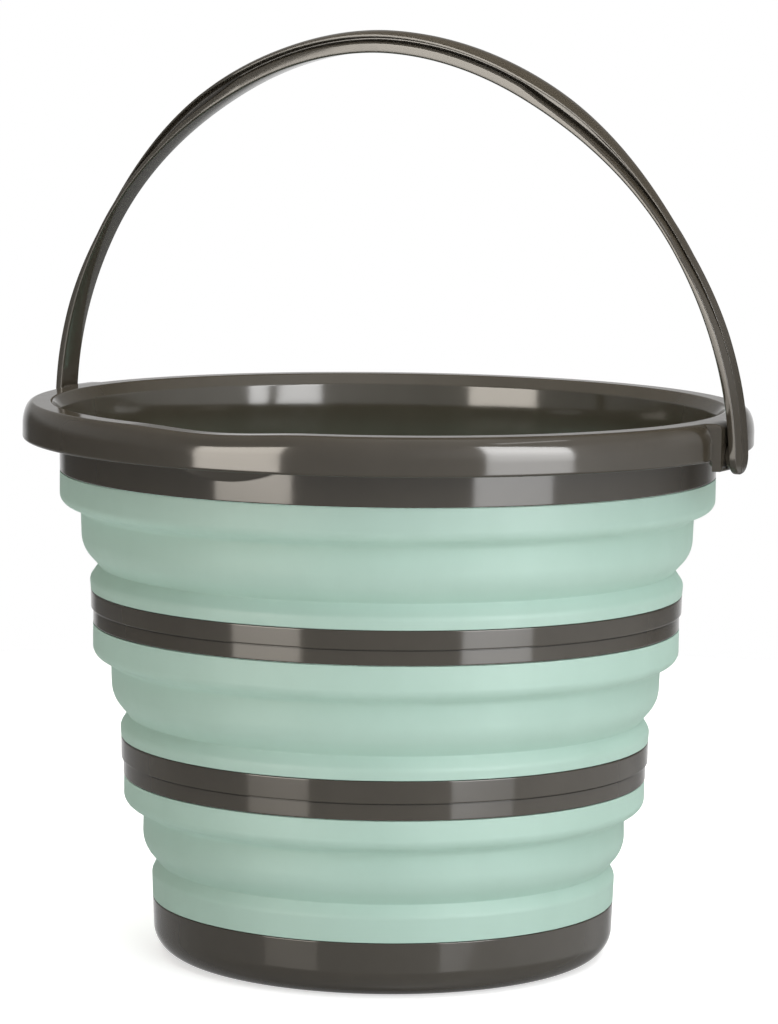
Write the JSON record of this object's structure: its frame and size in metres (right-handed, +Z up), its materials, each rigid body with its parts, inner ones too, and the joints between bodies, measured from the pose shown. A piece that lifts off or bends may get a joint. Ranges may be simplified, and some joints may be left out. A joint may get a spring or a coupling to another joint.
{
  "type": "collapsible bucket",
  "caption": "Collapsible camp bucket whose soft bellows walls fold between rigid rings until it lies flat, with a pouring spout and a swinging bail handle.",
  "frame": {"origin": "middle of the base, on the floor that the bucket stands on", "axes": "+Z up, X along the line of the handle's pivots, -Y towards the pouring spout"},
  "size_m": [0.342, 0.325, 0.4121],
  "materials": {
    "dark_plastic": "glossy moulded polypropylene, dark warm grey",
    "mint_rubber": "satin thermoplastic rubber, mint green"
  },
  "bodies": {
    "base": {"base_pan": "dark_plastic", "lower_bellows": "mint_rubber"},
    "lower_ring": {"lower_ring": "dark_plastic", "middle_bellows": "mint_rubber"},
    "upper_ring": {"upper_ring": "dark_plastic", "upper_bellows": "mint_rubber"},
    "collar": {"top_collar": "dark_plastic"},
    "handle": {"bail_handle": "dark_plastic"}
  },
  "joints": [
    {"name": "lower_ring_slide", "type": "slide", "parent": "base", "child": "lower_ring", "axis": [0, 0, 1], "range_m": [-0.06, 0], "deforming": ["lower_bellows"]},
    {"name": "upper_ring_slide", "type": "slide", "parent": "lower_ring", "child": "upper_ring", "axis": [0, 0, 1], "range_m": [-0.06, 0], "deforming": ["middle_bellows"]},
    {"name": "collar_slide", "type": "slide", "parent": "upper_ring", "child": "collar", "axis": [0, 0, 1], "range_m": [-0.06, 0], "deforming": ["upper_bellows"]},
    {"name": "handle_hinge", "type": "hinge", "parent": "collar", "child": "handle", "pos_m": [0, 0, 0.2333], "axis": [1, 0, 0], "range_deg": [-108, 101]}
  ]
}
